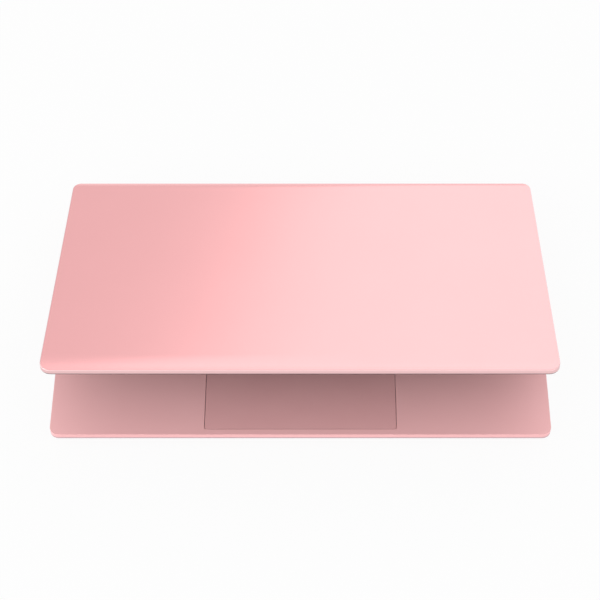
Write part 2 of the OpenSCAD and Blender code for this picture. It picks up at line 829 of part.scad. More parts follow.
module audio_jack() {
    color(black) at_port(1, jack_y, jack_z) difference() {
        union() {
            block([-port_depth, -hair], around(0, jack_body[0]), around(0, jack_body[1]));
            bar_x([-1, wall_t - 0.3], jack_collar_r);
        }
        bar_x([-port_depth - 1, wall_t + 1], jack_r);
    }
}

// ---- Hinges ----

knuckle_bore = pin_r + pin_clear;
knuckle_r = pin_r + 1.4;
arm_gap = 0.4;
arm_block_w = 9;
arm_strip_w = 12;
arm_strip_l = 80;
arm_strip_t = 0.6;
arm_in = hinge_x - knuckle_w / 2 - arm_gap;
arm_out = hinge_x + knuckle_w / 2 + arm_gap;
bracket_t = 1.6;
bracket_l = 40;
bracket_d = 6;
nut_w = 2.2;
nut_r = 2.9;
washer_t = 0.6;

// Plate below the deck, with an arm that enters the trough and ends in the knuckle
module hinge_bracket(s) {
    plate_y = [trough_y - 1 - bracket_d, trough_y - 1];
    z = [deck_z - sheet_t - bracket_t, deck_z - sheet_t];
    color(steel) difference() {
        union() {
            block(around(s * hinge_x, bracket_l), plate_y, z);
            block(around(s * hinge_x, knuckle_w), [plate_y[1] - 1, hinge_y], z);
            on_hinge_axis() bar_x(around(s * hinge_x, knuckle_w), knuckle_r);
        }
        on_hinge_axis() bar_x(around(s * hinge_x, 2 * knuckle_w), knuckle_bore);
        for (x = around(s * hinge_x, 0.75 * bracket_l)) translate([x, plate_y[0] + bracket_d / 2, 0])
            cylinder(h = far, r = 1.1);
    }
}

// Strip behind the display, with the block and the pin that turn in the knuckle
module hinge_arm(s) {
    color(steel) in_lid() mirror([s < 0 ? 1 : 0, 0, 0]) {
        block([arm_out, arm_out + arm_strip_w], [-arm_strip_l, roll_start],
            [roof_z - hair / 2 - arm_strip_t, roof_z - hair / 2]);
        block([arm_out, arm_out + arm_block_w], [-pin_r - 5.6, -1], [rim_low + 0.3, roof_z - 0.45]);
        block([arm_out, arm_out + arm_block_w], [-pin_r - 0.6, pin_r - 0.2], [-pin_r - 0.2, roof_z - 1.1]);
        bar_x([arm_in - washer_t - nut_w - 0.6, arm_out + 1], pin_r);
    }
}

module hinge_nuts() {
    color(steel) in_lid() both_sides() difference() {
        union() {
            bar_x([arm_in - washer_t, arm_in], nut_r);
            translate([arm_in - washer_t - nut_w, 0, 0]) rotate([0, 90, 0])
                cylinder(h = nut_w, r = nut_r, $fn = 6);
        }
        bar_x([0, far], knuckle_bore);
    }
}

// ---- Lid ----

// The back rolls down over the hinge in two arcs, and the front slopes down in one
roll_r = 0.8 * barrel_r;
roll_start = -0.8 * barrel_r;
roll_c = barrel_r - roll_r;
roll_run = roll_c - roll_start;
roll_big_r = (roll_run * roll_run + barrel_r * barrel_r - roll_r * roll_r) / (2 * (barrel_r - roll_r));
roll_turn = atan2(roll_run, roll_big_r - barrel_r);
nose_r = (nose_d * nose_d + nose_drop * nose_drop) / (2 * nose_drop);
arc_fn = 200;

// Side profile of the lid cover down to low, each curved face moved in by off
module lid_profile(off, low) {
    top = barrel_r - off;
    difference() {
        translate([-lid_len + off, low]) square([lid_len - off + roll_start, top - low]);
        difference() {
            translate([-lid_len - 1, 0]) square([nose_d + 1, top + 1]);
            translate([-lid_len + nose_d, barrel_r - nose_r]) circle(nose_r - off, $fn = arc_fn);
        }
    }
    intersection() {
        translate([roll_start, barrel_r - roll_big_r]) circle(roll_big_r - off, $fn = arc_fn);
        polygon([
            [roll_start - 1, low], [roll_start - 1, barrel_r + 1],
            [roll_c + 1.2 * barrel_r * sin(roll_turn), 1.2 * barrel_r * cos(roll_turn)],
            [roll_c, 0], [roll_start, 0], [roll_start, low],
        ]);
    }
    intersection() {
        translate([roll_c, 0]) circle(roll_r - off);
        translate([roll_start, 0]) square([3 * barrel_r, 2 * barrel_r]);
    }
}

// Plan of the lid. It ends a little behind the barrel, so that its corners run into the barrel's curve.
plan_over = 0.75;
module lid_outline(inset) {
    side = body_w / 2 - inset;
    front = -lid_len + inset;
    rear = barrel_r + plan_over - inset;
    front_r = lid_corner_r - inset;
    rear_r = lid_rear_corner_r - inset;
    translate([-side, front + front_r]) square([2 * side, rear - rear_r - front - front_r]);
    translate([front_r - side, front]) square([2 * (side - front_r), 2 * front_r]);
    translate([rear_r - side, front + front_r]) square([2 * (side - rear_r), rear - front - front_r]);
    for (s = [-1, 1]) {
        translate([s * (side - front_r), front + front_r]) circle(front_r);
        translate([s * (side - rear_r), rear - rear_r]) circle(rear_r);
    }
}

module lid_plan(inset) {
    translate([0, 0, -far / 2]) linear_extrude(far) lid_outline(inset);
}

module lid_cover() {
    color(pink) in_lid() difference() {
        intersection() {
            along_x(body_w + 2) lid_profile(0, rim_low);
            lid_plan(0);
        }
        intersection() {
            along_x(body_w) lid_profile(lid_sheet_t, -1);
            lid_plan(lid_wall_t);
        }
    }
}

bezel_inset = 0.35;
window_w = body_w - 2 * bezel_side;
window_d = lid_len - brow_d - chin_d;
window_y = -lid_len + brow_d + window_d / 2;
window_sink = 0.5;
panel_side = 3.2;
panel_border = 2.5;
panel_foot = 9.5;
panel_rear = window_y + window_d / 2 + panel_foot;
panel_front = window_y - window_d / 2 - panel_border;
camera_y = -lid_len + (lid_wall_t + brow_d - panel_border) / 2 + 0.3;
camera_r = 1.6;

module screen_bezel() {
    color(black) in_lid() difference() {
        intersection() {
            lid_plan(bezel_inset);
            block([-far, far], [-far, -barrel_r - hair], [lid_low, rim_low]);
        }
        translate([0, window_y, -5]) slab(window_w + 2 * window_sink, window_d + 2 * window_sink, 10, 1);
        translate([0, camera_y, -5]) cylinder(h = 10, r = camera_r + 0.2);
    }
}

module display_panel() {
    panel_d = panel_rear - panel_front;
    color("#0c0c0f") in_lid() {
        translate([0, panel_front + panel_d / 2, panel_z])
            slab(window_w + 2 * panel_side, panel_d, panel_t, 1.5);
        translate([0, window_y, panel_z - 0.25]) slab(window_w, window_d, 0.3, 0.6);
    }
}

// Lower half of the barrel, open where the knuckles and the display cable enter
module hinge_cover() {
    end_t = lid_rear_corner_r - 2;
    shell_t = 1;
    notch = knuckle_w + 2.2;
    color(black) in_lid() difference() {
        intersection() {
            difference() {
                union() {
                    intersection() {
                        bar_x([-far, far], barrel_r);
                        block([-far, far], [-far, far], [-far, 0]);
                    }
                    block([-far, far], [-barrel_r, -barrel_r + shell_t], [0, rim_low]);
                }
                bar_x([-body_w / 2 + end_t, body_w / 2 - end_t], barrel_r - shell_t);
            }
            lid_plan(0);
        }
        for (s = [-1, 1]) block(around(s * hinge_x, notch), [-far, far], [-far, far]);
        block(around(cable_x, 2 * cable_r + 2.4), [-far, far], [-far, far]);
    }
}

module camera_board() {
    y = [-lid_len + lid_wall_t + 1, panel_front - 0.3];
    color(board_green) in_lid() {
        block(around(0, 60), y, [rim_low + 1.3, rim_low + 1.9]);
        block(around(0, 6.4), y, [rim_low + hair, rim_low + 1.3]);
        for (x = [-26, 26]) block(around(x, 4), y, [rim_low, rim_low + 1.3]);
    }
}

module camera_lens() {
    color(black) in_lid() translate([0, camera_y, lid_low + hair]) cylinder(h = bezel_t, r = camera_r);
}

module lid_bumpers() {
    bumper_h = lid_gap - 0.15;
    side_x = body_w / 2 - 12;
    front = -lid_len + 4.5;
    color(black) in_lid() for (p = [[-side_x, front], [-70, front], [70, front], [side_x, front],
            [-side_x, -barrel_r - 8], [side_x, -barrel_r - 8]])
        translate([p[0], p[1], lid_low - bumper_h]) slab(8, 3, bumper_h, 1.4);
}

// ---- Display cable, which passes from lid to base along the hinge axis ----

cable_r = 0.8;
cable_x = hinge_x - 28;
cable_split = cable_x - 6;
cable_flat_w = 12;
cable_flat_x = cable_x - 36;
cable_drop = cable_r + sheet_t + lid_gap / 2 + hair / 2;

module cable_bend(p) {
    translate(p) sphere(cable_r);
}

// Base end: out of the barrel, through the trough's slot and down to its connector on the mainboard
module display_cable_tail() {
    down_y = board_y[1] - cable_r - 0.2;
    run_z = hinge_z - cable_drop;
    plug_h = 1.3;
    color(black) {
        on_hinge_axis() bar_x([cable_split, cable_x], cable_r);
        cable_bend([cable_x, hinge_y, hinge_z]);
        translate([cable_x, hinge_y, run_z]) cylinder(h = cable_drop, r = cable_r);
        cable_bend([cable_x, hinge_y, run_z]);
        translate([cable_x, hinge_y, run_z]) rotate([90, 0, 0]) cylinder(h = hinge_y - down_y, r = cable_r);
        cable_bend([cable_x, down_y, run_z]);
        translate([cable_x, down_y, board_top + 1]) cylinder(h = run_z - board_top - 1, r = cable_r);
        block(around(cable_x, 8), [board_y[1] - 4, board_y[1] - hair], [board_top, board_top + plug_h]);
    }
}

// Lid end: along the barrel, up beside the panel's foot and flat over the panel's back
module display_cable() {
    flat_t = 0.3;
    over_z = panel_z + panel_t + hair;
    under_z = over_z - 0.8;
    x = around(cable_flat_x, cable_flat_w);
    rise_y = [panel_rear + 0.3, panel_rear + 0.8];
    drop_y = [-cable_r, 0.5 - cable_r];
    color(black) in_lid() {
        bar_x([cable_flat_x, cable_split - hair / 2], cable_r);
        block(x, drop_y, [-0.5, under_z + flat_t]);
        block(x, [rise_y[0], drop_y[1]], [under_z, under_z + flat_t]);
        block(x, rise_y, [under_z, over_z + flat_t]);
        block(x, [panel_rear - 45, rise_y[1]], [over_z, over_z + flat_t]);
    }
}

top_case();
bottom_cover();
key_frame();
keyboard_plate();
key_membrane();
key_domes();
scissor_links();
keys(0, 0, power_i - 1);  // function_keys
keys(0, power_i, power_i);  // power_key
keys(1, 0, 12);  // number_keys
keys(1, 13, 13);  // backspace_key
keys(2, 0, 13);  // upper_letter_keys
keys(3, 0, 11);  // home_letter_keys
keys(3, 12, 12);  // enter_key
keys(4, 1, 10);  // lower_letter_keys
keys(4, 0, 0);  // left_shift_key
keys(4, 11, 11);  // right_shift_key
bottom_keys();
keys(5, space_i, space_i);  // space_bar
keys(5, left_arrow_i, right_arrow_i);  // arrow_keys
touchpad();
touchpad_bracket();
touchpad_switch();
board(board_x, board_y);  // mainboard
board_screws();
board_chips();
memory_module();
solid_state_drive();
wireless_card();
board(side_board_x, side_board_y);  // side_board
ribbon_cable();
fan_housing();
fan_rotor();
heat_pipe();
heat_fins();
battery_frame();
battery_cells();
speakers();
usb_a_ports();
usb_c_port();
video_port();
audio_jack();
card_slot();
hinge_bracket(-1);  // left_hinge_bracket
hinge_bracket(1);  // right_hinge_bracket
front_feet();
rear_foot();
bottom_screws();
lid_cover();
screen_bezel();
display_panel();
hinge_cover();
hinge_arm(-1);  // left_hinge_arm
hinge_arm(1);  // right_hinge_arm
hinge_nuts();
camera_board();
camera_lens();
lid_bumpers();
display_cable();
display_cable_tail();
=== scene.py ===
from math import atan2, cos, pi, radians, sin, sqrt

import bmesh
import bpy
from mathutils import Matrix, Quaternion, Vector


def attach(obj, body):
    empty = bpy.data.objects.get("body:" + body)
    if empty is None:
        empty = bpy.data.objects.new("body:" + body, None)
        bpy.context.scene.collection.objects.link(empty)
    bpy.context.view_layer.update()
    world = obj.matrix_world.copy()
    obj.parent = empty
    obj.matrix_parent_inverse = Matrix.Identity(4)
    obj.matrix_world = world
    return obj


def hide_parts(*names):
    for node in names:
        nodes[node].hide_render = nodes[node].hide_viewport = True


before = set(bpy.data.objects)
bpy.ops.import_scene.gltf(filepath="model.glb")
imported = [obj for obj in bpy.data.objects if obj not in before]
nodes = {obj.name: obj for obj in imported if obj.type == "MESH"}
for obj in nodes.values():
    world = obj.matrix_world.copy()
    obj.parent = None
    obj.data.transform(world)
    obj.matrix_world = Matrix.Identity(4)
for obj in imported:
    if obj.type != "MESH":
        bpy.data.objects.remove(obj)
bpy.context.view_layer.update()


# ---- Where the computer is looked at from ----
# Someone stands in front of the desk and looks down on the back of the half closed lid, through a long lens
# that is shifted a little to the side.

look_down = 54.18

view = bpy.data.cameras.new("view")
view.sensor_width = 36
view.lens = 105.1
view.shift_x = -0.024
view.clip_start = 0.01
eye = bpy.data.objects.new("eye", view)
eye.location = (0.00904, -0.6967, 0.9828)
eye.rotation_euler = (radians(90 - look_down), 0, 0)
bpy.context.scene.collection.objects.link(eye)
bpy.context.scene.camera = eye
bpy.context.scene.view_settings.view_transform = "Standard"


# ---- Top case, bottom cover and key frame ----
# The base is a pressed aluminium top case screwed to an aluminium tray. Both are bead blasted, which leaves
# a fine grain, and anodised rose pink. A darker band along the rim's lower edge is painted shade, standing in
# for the shade of an edge that turns down. The grid between the keys is cut from the same sheet.

rim_foot = 0.0092
shade_band_height = 0.0014
weld_reach = 2e-6
flat_turn = radians(1)
sharp_turn = radians(40)


class Wire:
    """A socket inside a finish. An expression on wires adds the Math nodes that work it out."""

    def __init__(self, finish, socket):
        self.finish = finish
        self.socket = socket

    def maths(self, operation, *others):
        return self.finish.node("ShaderNodeMath", {"operation": operation}, (self, *others))

    def __add__(self, other):
        return self.maths("ADD", other)

    def __mul__(self, other):
        return self.maths("MULTIPLY", other)

    __radd__ = __add__
    __rmul__ = __mul__


def paint(red, green, blue):
    """A colour from a colour chart's 0 to 255 values, as the shader wants it."""
    shares = [c / 255 for c in (red, green, blue)]
    return (*(c / 12.92 if c <= 0.04045 else ((c + 0.055) / 1.055) ** 2.4 for c in shares), 1)


class Finish:
    """A surface finish: what is the same all over it is set on its shader, and nodes feed the rest."""

    def __init__(self, name, **same_all_over):
        self.material = bpy.data.materials.new(name)
        self.material.use_nodes = True
        self.tree = self.material.node_tree
        self.shader = self.tree.nodes["Principled BSDF"]
        for socket, value in same_all_over.items():
            self.shader.inputs[socket.replace("_", " ")].default_value = value

    def node(self, kind, settings, values, output=0):
        """Adds one node: its settings, then the numbers or wires of its sockets, by place or by name."""
        made = self.tree.nodes.new(kind)
        for name, value in settings.items():
            setattr(made, name, value)
        for place, value in values.items() if isinstance(values, dict) else enumerate(values):
            if isinstance(value, Wire):
                self.tree.links.new(value.socket, made.inputs[place])
            else:
                made.inputs[place].default_value = value
        return Wire(self, made.outputs[output])

    def place(self):
        """Where a point lies on the piece, in metres."""
        return self.node("ShaderNodeTexCoord", {}, (), "Object")

    def noise(self, size, detail=2, squeeze=None):
        """Noise whose blotches are about size metres wide, and longer along an axis squeezed below 1."""
        where = self.place()
        if squeeze:
            where = self.node("ShaderNodeVectorMath", {"operation": "MULTIPLY"}, (where, squeeze))
        values = {"Vector": where, "Scale": 1 / size, "Detail": detail}
        return self.node("ShaderNodeTexNoise", {}, values, "Fac")

    def mixed(self, share, first, second):
        """A colour between two, by a wire or a share."""
        return self.node("ShaderNodeMix", {"data_type": "RGBA"}, {0: share, 6: first, 7: second}, 2)

    def feed(self, **wires):
        for socket, wire in wires.items():
            self.tree.links.new(wire.socket, self.shader.inputs[socket.replace("_", " ")])

    def bump(self, height, depth, strength=1):
        values = {"Height": height, "Distance": depth, "Strength": strength}
        self.feed(Normal=self.node("ShaderNodeBump", {}, values))

    def grained(self, size, detail, dark, light, rough, spread, depth=0, squeeze=None):
        """Lets one grain run the colour from dark to light, the roughness up from rough by spread, and the
        surface up by depth, in metres."""
        grain = self.noise(size, detail, squeeze)
        self.feed(Base_Color=self.mixed(grain, paint(*dark), paint(*light)), Roughness=grain * spread + rough)
        if depth:
            self.bump(grain, depth)
        return self


def wear(node_name, finish, edge=0, turns=2):
    """Gives a CAD node its finish and, where edge, in metres, says so, rounds its edges."""
    piece = nodes[node_name]
    piece.data.materials.clear()
    piece.data.materials.append(finish.material)
    if edge:
        weld = piece.modifiers.new("weld", "WELD")
        weld.merge_threshold = weld_reach
        flat = piece.modifiers.new("flat", "DECIMATE")
        flat.decimate_type = "DISSOLVE"
        flat.angle_limit = flat_turn
        bevel = piece.modifiers.new("bevel", "BEVEL")
        bevel.width = edge
        bevel.segments = turns
        bevel.limit_method = "ANGLE"
        bevel.angle_limit = sharp_turn
        even = piece.modifiers.new("even", "WEIGHTED_NORMAL")
        even.keep_sharp = True
    return piece


blasted = Finish("rose_blasted_aluminium", Metallic=0.1, Specular_IOR_Level=0.4)
blasted_grain = blasted.noise(0.0006, 3)
blasted_cloud = blasted.noise(0.03)
rose = blasted.mixed(blasted_grain * 0.5 + blasted_cloud * 0.5, paint(234, 176, 177), paint(239, 184, 185))
# The band just above the rim's foot is painted shade: a darker rose stands in for the shade of a lower edge
# that turns down.
level = blasted.node("ShaderNodeSeparateXYZ", {}, (blasted.place(),), "Z")
painted_shade_band = level.maths("COMPARE", rim_foot + shade_band_height / 2, shade_band_height / 2)
blasted.feed(
    Base_Color=blasted.mixed(painted_shade_band, rose, paint(196, 160, 165)),
    Roughness=blasted_grain * 0.12 + 0.46,
)
blasted.bump(blasted_grain, 0.00005, 0.6)

wear("top_case", blasted, 0.0002)
wear("bottom_cover", blasted, 0.0002)
wear("key_frame", blasted, 0.00012)


# ---- Feet and screws ----
# Two short rubber strips in front and a long one behind keep the tray's air slots clear of the desk.
# Small plated screws with a cross slot hold the tray to the top case.

rubber = Finish("black_rubber", Specular_IOR_Level=0.3).grained(
    size=0.0004, detail=3, dark=(34, 34, 36), light=(52, 52, 55), rough=0.7, spread=0.15, depth=0.00004)
plated = Finish("plated_steel", Metallic=1).grained(
    size=0.0005, detail=3, dark=(158, 160, 165), light=(205, 207, 211), rough=0.25, spread=0.2,
    depth=0.00001, squeeze=(0.08, 1, 1))

wear("front_feet", rubber, 0.0003, 3)
wear("rear_foot", rubber, 0.0003, 3)
wear("bottom_screws", plated, 0.0001)


# ---- Keys ----
# Each cap is moulded in pale rose plastic with a matt, slightly dished face and a printed grey legend.
# It sits on two crossed plastic links above a silicone dome, and dome and links stand on a switch foil
# and a steel plate.

key_pitch = 18.6
row_pitch = 18
function_pitch = 11.5
row_units = 15
keyboard_rear = 82
keyboard_left = -row_units / 2 * key_pitch
cap_gap = 2.6
updown_gap = 1.2
cap_low = 12.05
cap_top = 13.5
corner_turns = 6
# A cap's skirt in rings: how far each lies in, how high it is over the cap's foot, and its corner radius.
skirt = ((0.1, 0, 1.2), (0, 0.12, 1.3), (0.12, 0.75, 1.25))
face_inset = 0.45
face_round = 0.3
face_turns = 4
face_corner = 1.2
dish = 0.14
dish_shares = (0.93, 0.8, 0.6, 0.4, 0.2)
dish_corner = 1.1

# The printed legends: sizes, and places from the middle of the cap.
print_lift = 0.012
arrow_size = 1.1
hoop_turns = 24
power_hoop = {"radius": 1.6, "thick": 0.35, "gap": 32}
power_stroke = {"x": 0, "y": 1.1, "width": 0.35, "depth": 1.7}
menu_lines = (-1.1, 0, 1.1)
menu_line = {"width": 3.2, "depth": 0.4}
letter_size, letter_at = 4.4, (-2.6, 1.8)
lower_size, lower_at = 3.6, (-2.2, -2.6)
upper_size, upper_at = 3.2, (-2.2, 2.8)
word_size, word_y = 2.9, -3.6
word_margin = 1.4
half_letter = 0.75
function_word_size = 2.7

# The rows from the back to the front: each key's width in key pitches, and its legend.
key_rows = [
    [(1, label) for label in "esc F1 F2 F3 F4 F5 F6 F7 F8 F9 F10 F11 F12 del power".split()],
    [(1, label) for label in "`~ 1! 2@ 3# 4$ 5% 6^ 7& 8* 9( 0) -_ =+".split()] + [(2, "backspace")],
    [(1.5, "tab")] + [(1, label) for label in "Q W E R T Y U I O P [{ ]}".split()] + [(1.5, "\\|")],
    [(1.75, "caps")] + [(1, label) for label in "A S D F G H J K L ;: '\"".split()] + [(2.25, "enter")],
    [(2.25, "shift")] + [(1, label) for label in "Z X C V B N M ,< .> /?".split()] + [(2.75, "shift")],
    [(1.25, "ctrl"), (1, "fn"), (1, "menu"), (1, "alt"), (5.75, ""), (1, "alt"), (1, "ctrl"),
     (1, "left"), (1, "updown"), (1, "right")],
]
# The nodes of keys: the row that each lies in, and the places of its keys there.
key_groups = {
    "function_keys": (0, range(14)), "power_key": (0, [14]),
    "number_keys": (1, range(13)), "backspace_key": (1, [13]),
    "upper_letter_keys": (2, range(14)),
    "home_letter_keys": (3, range(12)), "enter_key": (3, [12]),
    "left_shift_key": (4, [0]), "lower_letter_keys": (4, range(1, 11)), "right_shift_key": (4, [11]),
    "bottom_keys": (5, [0, 1, 2, 3, 5, 6]), "space_bar": (5, [4]), "arrow_keys": (5, range(7, 10)),
}


def shaded(mesh, name, finishes, body, crease=40):
    """Makes a bmesh, drawn in millimetres, a piece of that body, with edges over the crease angle sharp."""
    bmesh.ops.remove_doubles(mesh, verts=mesh.verts, dist=1e-4)
    bmesh.ops.dissolve_degenerate(mesh, edges=mesh.edges, dist=1e-5)
    bmesh.ops.recalc_face_normals(mesh, faces=mesh.faces)
    bmesh.ops.scale(mesh, vec=(0.001, 0.001, 0.001), verts=mesh.verts)
    for face in mesh.faces:
        face.smooth = True
    for edge in mesh.edges:
        edge.smooth = edge.is_manifold and edge.calc_face_angle(pi) < radians(crease)
    data = bpy.data.meshes.new(name)
    mesh.to_mesh(data)
    mesh.free()
    for finish in finishes:
        data.materials.append(finish.material)
    piece = bpy.data.objects.new(name, data)
    bpy.context.scene.collection.objects.link(piece)
    even = piece.modifiers.new("even", "WEIGHTED_NORMAL")
    even.keep_sharp = True
    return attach(piece, body)


def outline(width, depth, radius):
    """Points around a rounded rectangle, anticlockwise from its right side."""
    points = []
    for corner, (sx, sy) in enumerate(((1, 1), (-1, 1), (-1, -1), (1, -1))):
        for step in range(corner_turns + 1):
            angle = radians(90 * (corner + step / corner_turns))
            points.append((sx * (width / 2 - radius) + radius * cos(angle),
                           sy * (depth / 2 - radius) + radius * sin(angle)))
    return points


def stack(mesh, rings):
    """Joins rings of points one above the other, and closes the first and the last."""
    rows = [[mesh.verts.new(point) for point in ring] for ring in rings]
    for low, high in zip(rows, rows[1:]):
        for i in range(len(low)):
            j = (i + 1) % len(low)
            mesh.faces.new((low[i], low[j], high[j], high[i]))
    mesh.faces.new(reversed(rows[0]))
    mesh.faces.new(rows[-1])


def face_height(x, y, width, depth):
    """Height of a cap's dished face at a point measured from the middle of a cap of that size."""
    aside = 2 * x / (width - 2 * face_inset)
    ahead = 2 * y / (depth - 2 * face_inset)
    return cap_top - dish * max(0, 1 - aside ** 2) * max(0, 1 - ahead ** 2)


def draw_cap(mesh, x, y, width, depth):
    def ring(inset, z, radius):
        points = outline(width - 2 * inset, depth - 2 * inset, radius)
        return [(x + px, y + py, z) for px, py in points]

    rings = [ring(inset, cap_low + rise, radius) for inset, rise, radius in skirt]
    for step in range(face_turns + 1):
        angle = radians(90 * step / face_turns)
        inset = face_inset - face_round * cos(angle)
        rings.append(ring(inset, cap_top - face_round * (1 - sin(angle)), face_corner))
    face_width = width - 2 * face_inset
    face_depth = depth - 2 * face_inset
    for share in dish_shares:
        points = outline(face_width * share, face_depth * share, dish_corner * share)
        rings.append([(x + px, y + py, face_height(px, py, width, depth)) for px, py in points])
    stack(mesh, rings)


glyphs = {}


def glyph(text, size):
    """Flat faces of a word, centred on its own middle: its points and its polygons, in millimetres."""
    if (text, size) not in glyphs:
        words = bpy.data.curves.new("words", "FONT")
        words.body = text
        words.size = size
        words.resolution_u = 3
        words.align_x = "CENTER"
        holder = bpy.data.objects.new("words", words)
        bpy.context.scene.collection.objects.link(holder)
        bpy.context.view_layer.update()
        flat = bpy.data.meshes.new_from_object(holder.evaluated_get(bpy.context.evaluated_depsgraph_get()))
        points = [(v.co.x, v.co.y) for v in flat.vertices]
        polygons = [tuple(f.vertices) for f in flat.polygons]
        middle = (max(p[1] for p in points) + min(p[1] for p in points)) / 2
        glyphs[text, size] = [(px, py - middle) for px, py in points], polygons
        bpy.data.objects.remove(holder)
        bpy.data.curves.remove(words)
        bpy.data.meshes.remove(flat)
    return glyphs[text, size]


def bar(x, y, width, depth):
    """Points and polygon of a printed bar."""
    return [(x - width / 2, y - depth / 2), (x + width / 2, y - depth / 2),
            (x + width / 2, y + depth / 2), (x - width / 2, y + depth / 2)], [(0, 1, 2, 3)]


def arrow(turn):
    """Points and polygon of a printed triangle that points right, turned by an angle."""
    corners = [(arrow_size * px, arrow_size * py) for px, py in ((1, 0), (-0.7, 0.95), (-0.7, -0.95))]
    c, s = cos(radians(turn)), sin(radians(turn))
    return [(px * c - py * s, px * s + py * c) for px, py in corners], [(0, 1, 2)]


def hoop(radius, thick, gap):
    """Points and polygons of a printed ring with a gap at its top."""
    points = []
    for step in range(hoop_turns + 1):
        angle = radians(90 + gap + (360 - 2 * gap) * step / hoop_turns)
        for r in (radius, radius - thick):
            points.append((r * cos(angle), r * sin(angle)))
    return points, [(2 * i, 2 * i + 1, 2 * i + 3, 2 * i + 2) for i in range(hoop_turns)]


def print_marks(mesh, marks, x, y, width, depth, dx=0, dy=0):
    """Lays printed marks on a cap's face, a hair above it."""
    points, polygons = marks
    verts = []
    for px, py in points:
        z = face_height(px + dx, py + dy, width, depth) + print_lift
        verts.append(mesh.verts.new((x + dx + px, y + dy + py, z)))
    for polygon in polygons:
        mesh.faces.new([verts[i] for i in polygon]).material_index = 1


cap_plastic = Finish("rose_key_plastic", Specular_IOR_Level=0.4).grained(
    size=0.0003, detail=3, dark=(234, 198, 199), light=(240, 207, 208), rough=0.5, spread=0.15, depth=0.00003)
ink = Finish("grey_legend_ink", Specular_IOR_Level=0.3).grained(
    size=0.0002, detail=2, dark=(110, 92, 95), light=(126, 106, 109), rough=0.6, spread=0.1)

for group, (row, places) in key_groups.items():
    caps = bmesh.new()
    cap_y = keyboard_rear - (function_pitch + (row - 0.5) * row_pitch if row else function_pitch / 2)
    cap_depth = (row_pitch if row else function_pitch) - cap_gap
    for i in places:
        units, label = key_rows[row][i]
        cap_x = keyboard_left + key_pitch * (sum(k[0] for k in key_rows[row][:i]) + units / 2)
        wide = units * key_pitch - cap_gap
        if label == "updown":
            half = (cap_depth - updown_gap) / 2
            for side in (1, -1):
                half_y = cap_y + side * (cap_depth - half) / 2
                draw_cap(caps, cap_x, half_y, wide, half)
                print_marks(caps, arrow(90 * side), cap_x, half_y, wide, half)
            continue
        cap = (cap_x, cap_y, wide, cap_depth)
        draw_cap(caps, *cap)
        if label in ("left", "right"):
            print_marks(caps, arrow(180 if label == "left" else 0), *cap)
        elif label == "power":
            print_marks(caps, hoop(**power_hoop), *cap)
            print_marks(caps, bar(**power_stroke), *cap)
        elif label == "menu":
            for line_y in menu_lines:
                print_marks(caps, bar(0, line_y, **menu_line), *cap)
        elif len(label) == 2 and not label[0].isalpha():
            print_marks(caps, glyph(label[0], lower_size), *cap, *lower_at)
            print_marks(caps, glyph(label[1], upper_size), *cap, *upper_at)
        elif len(label) == 1:
            print_marks(caps, glyph(label, letter_size), *cap, *letter_at)
        elif label and units > 1:
            left = -wide / 2 + word_margin + half_letter * len(label)
            print_marks(caps, glyph(label, word_size), *cap, left, word_y)
        elif label:
            print_marks(caps, glyph(label, word_size if row else function_word_size), *cap)
    cap_piece = shaded(caps, group.replace("_key", "_cap").replace("space_bar", "space_cap"),
                       [cap_plastic, ink], group)
    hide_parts(group)

natural = Finish("natural_plastic", Specular_IOR_Level=0.4).grained(
    size=0.002, detail=2, dark=(222, 222, 217), light=(240, 240, 236), rough=0.4, spread=0.1)
silicone = Finish("silicone", Specular_IOR_Level=0.4).grained(
    size=0.001, detail=2, dark=(205, 205, 200), light=(226, 226, 221), rough=0.45, spread=0.1)

wear("keyboard_plate", plated)
wear("key_membrane", natural)
wear("key_domes", silicone)
wear("scissor_links", natural)


# ---- Touchpad ----
# A single plate of etched glass, coloured rose on its back, that tips about its rear edge on a steel frame
# and presses a small switch near its front edge.

etched = Finish("rose_etched_glass")
etching = etched.noise(0.0003)
etched.feed(
    Base_Color=etched.mixed(etched.noise(0.02), paint(215, 160, 161), paint(219, 165, 166)),
    Roughness=etching * 0.1 + 0.36,
)
etched.bump(etching, 0.00002, 0.5)

black_plastic = Finish("black_plastic", Specular_IOR_Level=0.4).grained(
    size=0.0004, detail=3, dark=(24, 24, 27), light=(36, 36, 40), rough=0.48, spread=0.15, depth=0.00003)

wear("touchpad", etched, 0.00012)
wear("touchpad_bracket", plated, 0.0001)
wear("touchpad_switch", black_plastic, 0.0001)


# ---- Boards ----
# Green circuit boards with black chips hang below the keyboard plate, screwed to posts of the tray. Memory,
# drive and wireless card plug in below them, and a ribbon joins the side board.

solder_mask = Finish("green_solder_mask")
tracks = solder_mask.node("ShaderNodeTexBrick", {"offset": 0.35, "squash": 0.6}, {
    "Vector": solder_mask.place(), "Scale": 160,
    "Color1": (0, 0, 0, 1), "Color2": (0.35, 0.35, 0.35, 1), "Mortar": (1, 1, 1, 1),
    "Mortar Size": 0.012, "Brick Width": 0.9, "Row Height": 0.22,
})
solder_mask.feed(
    Base_Color=solder_mask.mixed(tracks, paint(30, 72, 54), paint(62, 122, 90)),
    Roughness=solder_mask.noise(0.004) * 0.15 + 0.3,
)

chip_plastic = Finish("chip_plastic", Specular_IOR_Level=0.4).grained(
    size=0.0005, detail=3, dark=(22, 22, 24), light=(38, 38, 41), rough=0.45, spread=0.2)

for board in ("mainboard", "side_board", "memory_module", "solid_state_drive", "wireless_card"):
    wear(board, solder_mask)
wear("board_chips", chip_plastic, 0.0001)
wear("board_screws", plated, 0.0001)
wear("ribbon_cable", natural)


# ---- Cooling ----
# A copper plate on the processor feeds a flat copper pipe, which ends above a stack of copper fins. A slim
# fan in a black housing blows through them and out of the slots in the rear wall.

copper = Finish("bright_copper", Metallic=1).grained(
    size=0.001, detail=3, dark=(186, 112, 72), light=(220, 150, 108), rough=0.25, spread=0.2,
    squeeze=(0.1, 1, 1))

wear("heat_pipe", copper, 0.0004, 3)
wear("heat_fins", copper)
wear("fan_housing", black_plastic, 0.0002)
wear("fan_rotor", black_plastic)


